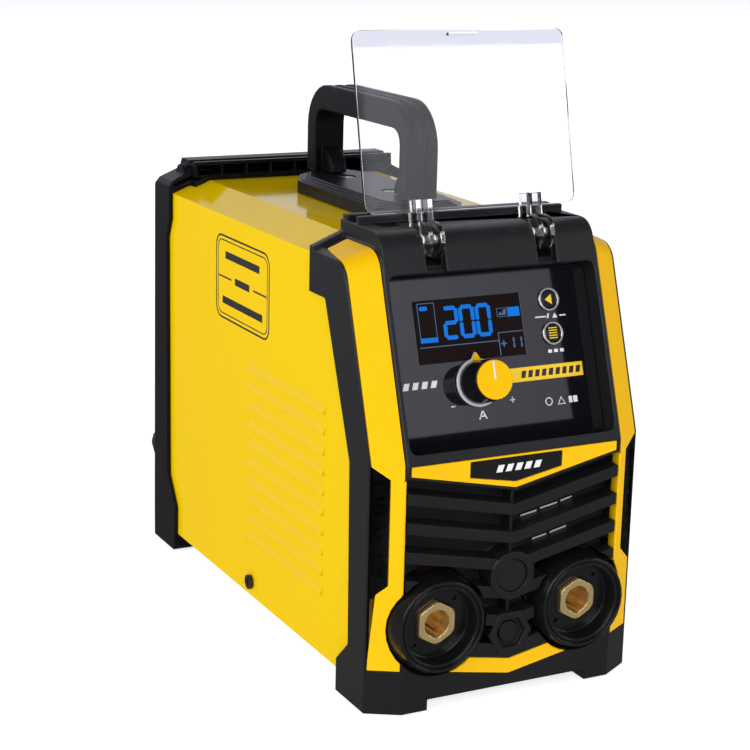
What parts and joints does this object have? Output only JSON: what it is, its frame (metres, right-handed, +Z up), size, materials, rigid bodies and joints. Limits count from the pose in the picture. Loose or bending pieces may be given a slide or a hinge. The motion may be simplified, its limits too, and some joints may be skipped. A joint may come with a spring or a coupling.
{
  "type": "stick welding inverter",
  "caption": "Portable stick welding power source: yellow sheet case with black end bezels, tilted control panel under a hinged clear cover, welding sockets and a top carrying handle.",
  "frame": {"origin": "centre of the outer box in plan, on the floor under the foot pads", "axes": "+Z up, front panel faces -Y, +X to the right seen from the front"},
  "size_m": [0.15, 0.3198, 0.3202],
  "materials": {
    "black_plastic": "moulded nylon, satin, charcoal black",
    "yellow_plastic": "moulded trim, warm yellow",
    "yellow_sheet": "powder-coated steel sheet, yellow",
    "clear_plastic": "clear cover, polished edges",
    "fascia_plastic": "glossy panel film",
    "display_glass": "display window, near black",
    "silver_metal": "bright plated trim",
    "brass_metal": "turned brass",
    "steel_metal": "zinc-plated steel",
    "zinc_sheet": "galvanised sheet",
    "aluminium_metal": "extruded aluminium",
    "copper_metal": "copper strip",
    "board_laminate": "green circuit board",
    "ferrite_dark": "ferrite and dark casings",
    "winding_metal": "enamelled wire",
    "rubber_black": "soft rubber"
  },
  "bodies": {
    "machine": {"front_panel": "black_plastic", "left_corner_trim": "yellow_plastic", "left_grip_insert": "rubber_black", "left_socket_body": "black_plastic", "left_socket_brass": "brass_metal", "left_bus_bar": "copper_metal", "left_hinge_pin": "clear_plastic", "left_side_screw": "steel_metal", "left_heatsink": "aluminium_metal", "right_corner_trim": "yellow_plastic", "right_grip_insert": "rubber_black", "right_socket_body": "black_plastic", "right_socket_brass": "brass_metal", "right_bus_bar": "copper_metal", "right_hinge_pin": "clear_plastic", "right_side_screw": "steel_metal", "right_heatsink": "aluminium_metal", "upper_band": "yellow_plastic", "lower_band": "yellow_plastic", "name_plate": "black_plastic", "remote_port_plug": "black_plastic", "gas_port_plug": "black_plastic", "control_fascia": "fascia_plastic", "display_window": "display_glass", "display_module": "ferrite_dark", "mode_button_ring": "silver_metal", "menu_button_ring": "silver_metal", "encoder_body": "steel_metal", "control_board": "board_laminate", "main_board": "board_laminate", "housing_cover": "yellow_sheet", "chassis_tray": "zinc_sheet", "handle_base": "black_plastic", "carry_handle": "black_plastic", "front_handle_screw": "steel_metal", "rear_handle_screw": "steel_metal", "rear_panel": "black_plastic", "fan_guard": "black_plastic", "fan_frame": "black_plastic", "power_switch_body": "black_plastic", "cable_gland": "black_plastic", "gland_nut": "black_plastic", "left_capacitor": "ferrite_dark", "right_capacitor": "ferrite_dark", "transformer_core": "ferrite_dark", "output_choke": "ferrite_dark", "transformer_winding": "winding_metal", "front_left_foot_pad": "rubber_black", "front_right_foot_pad": "rubber_black", "rear_left_foot_pad": "rubber_black", "rear_right_foot_pad": "rubber_black"},
    "cover": {"clear_cover": "clear_plastic"},
    "knob": {"knob_skirt": "silver_metal", "knob_grip": "black_plastic", "knob_cap": "yellow_plastic", "encoder_shaft": "steel_metal"},
    "mode_button_body": {"mode_button": "black_plastic"},
    "menu_button_body": {"menu_button": "black_plastic"},
    "fan": {"fan_rotor": "black_plastic"},
    "rocker": {"power_rocker": "black_plastic"}
  },
  "joints": [
    {"name": "cover_hinge", "type": "hinge", "parent": "machine", "child": "cover", "pos_m": [0, -0.11715, 0.224], "axis": [1, 0, 0], "range_deg": [0, 168]},
    {"name": "knob_turn", "type": "hinge", "parent": "machine", "child": "knob", "pos_m": [-0.0115, -0.14468, 0.1596], "axis": [0, -0.9466, 0.3223], "continuous": true},
    {"name": "mode_button_press", "type": "slide", "parent": "machine", "child": "mode_button_body", "axis": [0, 0.9466, -0.3223], "range_m": [0, 0.0008], "stiffness_N_per_m": 250},
    {"name": "menu_button_press", "type": "slide", "parent": "machine", "child": "menu_button_body", "axis": [0, 0.9466, -0.3223], "range_m": [0, 0.0008], "stiffness_N_per_m": 250},
    {"name": "fan_spin", "type": "hinge", "parent": "machine", "child": "fan", "pos_m": [0.008, 0.10915, 0.118], "axis": [0, 1, 0], "continuous": true},
    {"name": "power_rocker", "type": "hinge", "parent": "machine", "child": "rocker", "pos_m": [0.038, 0.12225, 0.192], "axis": [1, 0, 0], "range_deg": [0, 20]}
  ]
}
